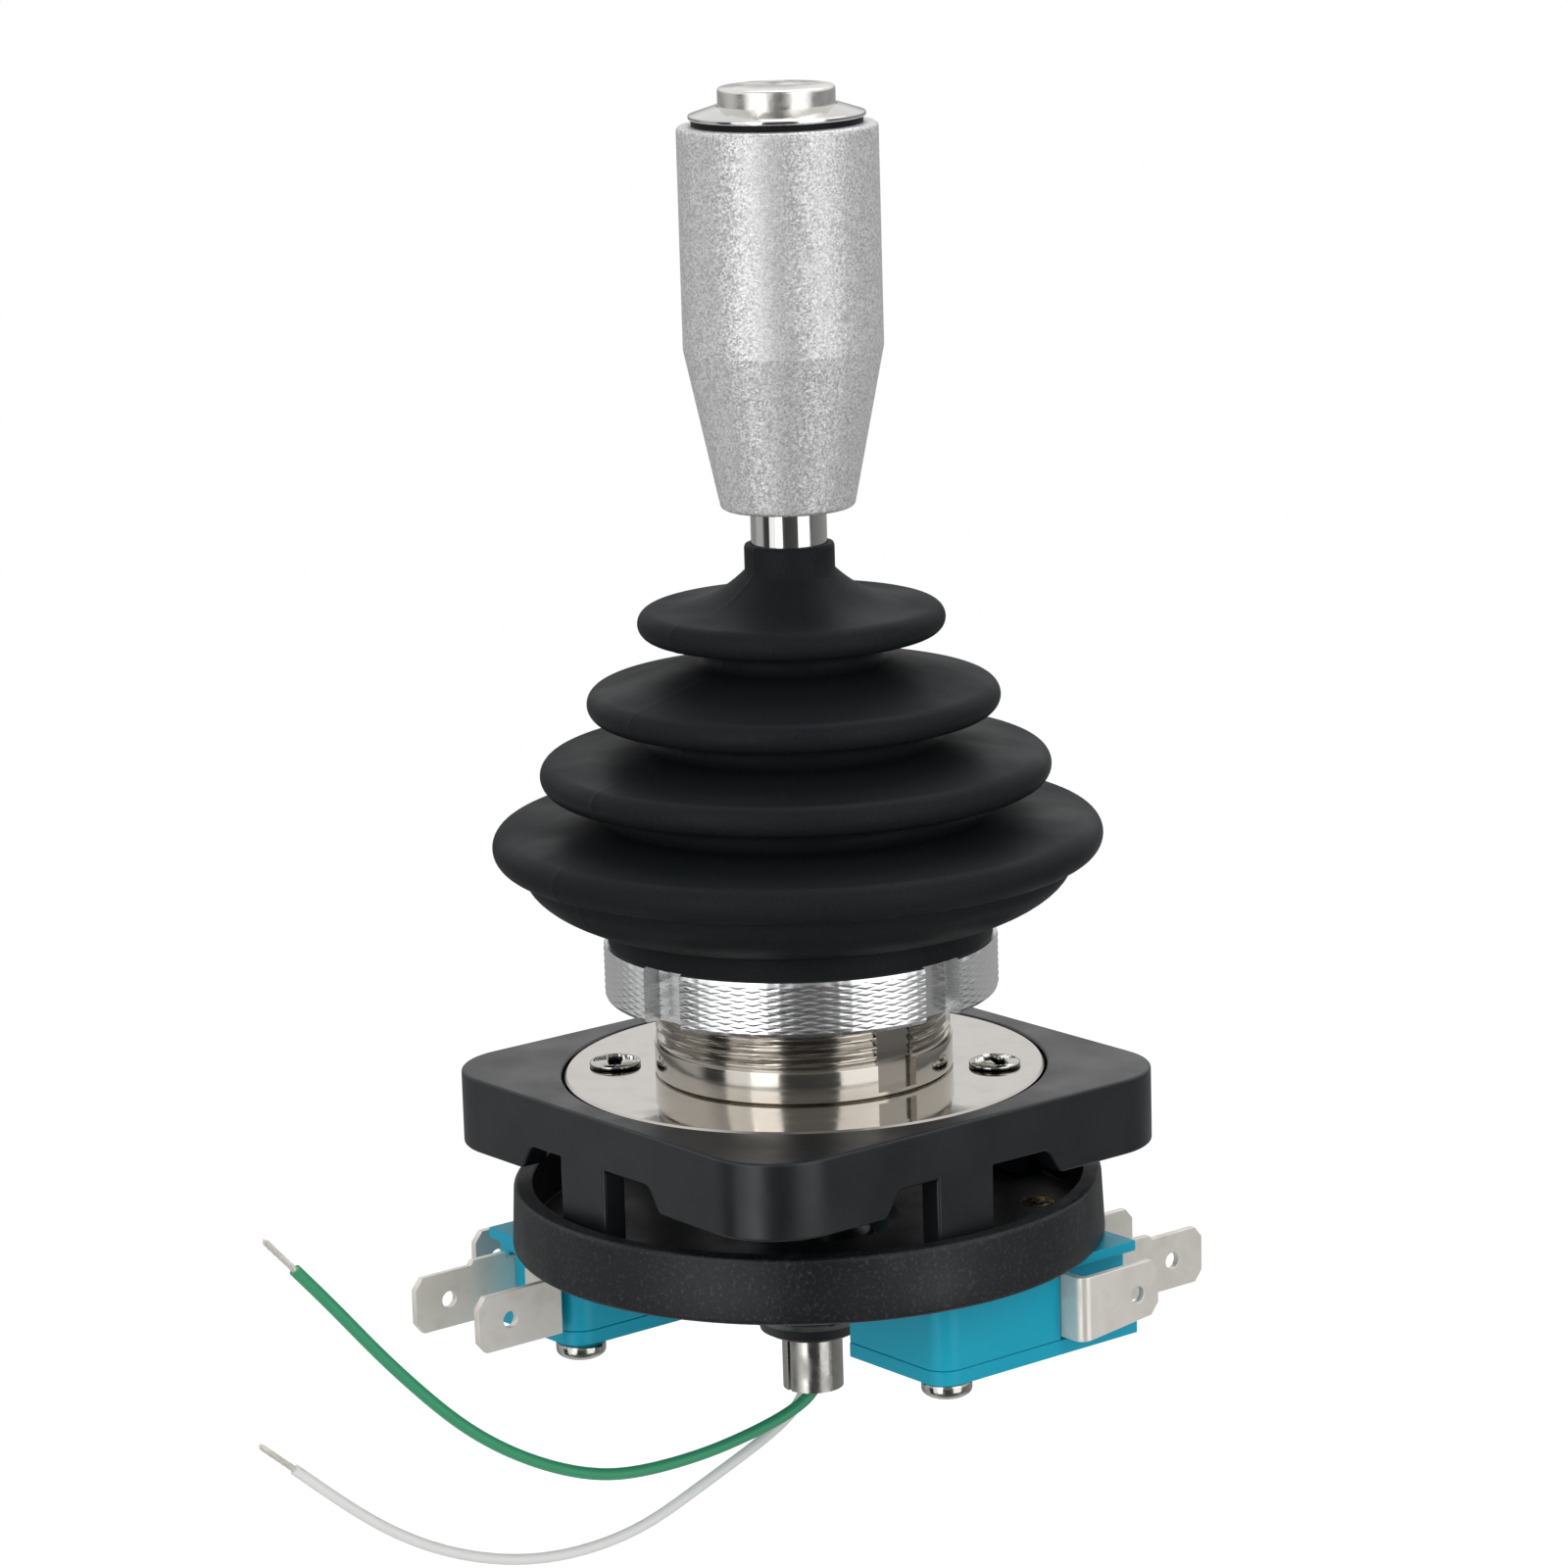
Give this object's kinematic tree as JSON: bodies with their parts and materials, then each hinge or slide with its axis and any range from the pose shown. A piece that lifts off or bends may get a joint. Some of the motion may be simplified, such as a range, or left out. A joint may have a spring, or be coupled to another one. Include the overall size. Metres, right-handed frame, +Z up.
{
  "type": "industrial joystick",
  "caption": "Panel-mount lever joystick with a push button on the grip, a rubber bellows, a slotted ring nut and snap switches under a square plate.",
  "frame": {"origin": "centre of the seat disc's top face, on the lever's axis, where the panel's underside lies", "axes": "+Z up the lever towards the button, the lever tilts about Y, one switch lies on the +X side and one on the -X side"},
  "size_m": [0.0646, 0.102, 0.1551],
  "materials": {
    "nickel": "polished nickel plate",
    "chrome": "chromed rod",
    "aluminium": "bright turned and knurled",
    "silver_paint": "silver metallic paint",
    "steel": "zinc plated",
    "spring_steel": "drawn wire",
    "brass": "bare brass",
    "tinned_brass": "satin tin plate",
    "black_plastic": "moulded, fine grain",
    "teal_plastic": "moulded, semi-gloss",
    "ivory_plastic": "moulded",
    "rubber": "satin moulded rubber",
    "green_pvc": "extruded insulation",
    "white_pvc": "extruded insulation"
  },
  "bodies": {
    "base": {"bellows": "rubber", "ring_nut": "aluminium", "threaded_collar": "nickel", "centring_spring": "spring_steel", "spring_seat": "steel", "pivot_housing": "black_plastic", "trunnions": "steel", "seat_disc": "nickel", "disc_screws": "nickel", "mounting_plate": "black_plastic", "switch_cup": "black_plastic", "cup_screws": "steel", "cup_inserts": "brass", "switch_case_right": "teal_plastic", "switch_case_left": "teal_plastic", "switch_cover_right": "teal_plastic", "switch_cover_left": "teal_plastic", "com_terminal_right": "tinned_brass", "com_terminal_left": "tinned_brass", "no_terminal_right": "tinned_brass", "no_terminal_left": "tinned_brass", "nc_terminal_right": "tinned_brass", "nc_terminal_left": "tinned_brass", "snap_blade_right": "brass", "snap_blade_left": "brass", "switch_screws": "steel"},
    "lever": {"button_bezel": "nickel", "button_gasket": "rubber", "button_contacts": "ivory_plastic", "button_pins": "brass", "grip": "silver_paint", "lever_rod": "chrome", "spring_retainer": "steel", "pivot_hub": "steel", "actuator_cam": "black_plastic", "lower_tube": "nickel", "inner_lead_green": "green_pvc", "inner_lead_white": "white_pvc", "lead_green": "green_pvc", "lead_white": "white_pvc", "button_spring": "spring_steel"},
    "button": {"button_cap": "nickel"},
    "plunger_right": {"plunger_right": "ivory_plastic"},
    "plunger_left": {"plunger_left": "ivory_plastic"}
  },
  "joints": [
    {"name": "lever_tilt", "type": "hinge", "parent": "base", "child": "lever", "pos_m": [0, 0, -0.005], "axis": [0, 1, 0], "range_deg": [-8, 8], "stiffness_Nm_per_rad": 0.9, "deforming": ["bellows", "centring_spring"]},
    {"name": "button_press", "type": "slide", "parent": "lever", "child": "button", "axis": [0, 0, -1], "range_m": [0, 0.0015], "stiffness_N_per_m": 900, "deforming": ["button_spring"]},
    {"name": "plunger_press_right", "type": "slide", "parent": "base", "child": "plunger_right", "axis": [1, 0, 0], "range_m": [0, 0.0009], "stiffness_N_per_m": 1500},
    {"name": "plunger_press_left", "type": "slide", "parent": "base", "child": "plunger_left", "axis": [-1, 0, 0], "range_m": [0, 0.0009], "stiffness_N_per_m": 1500}
  ]
}
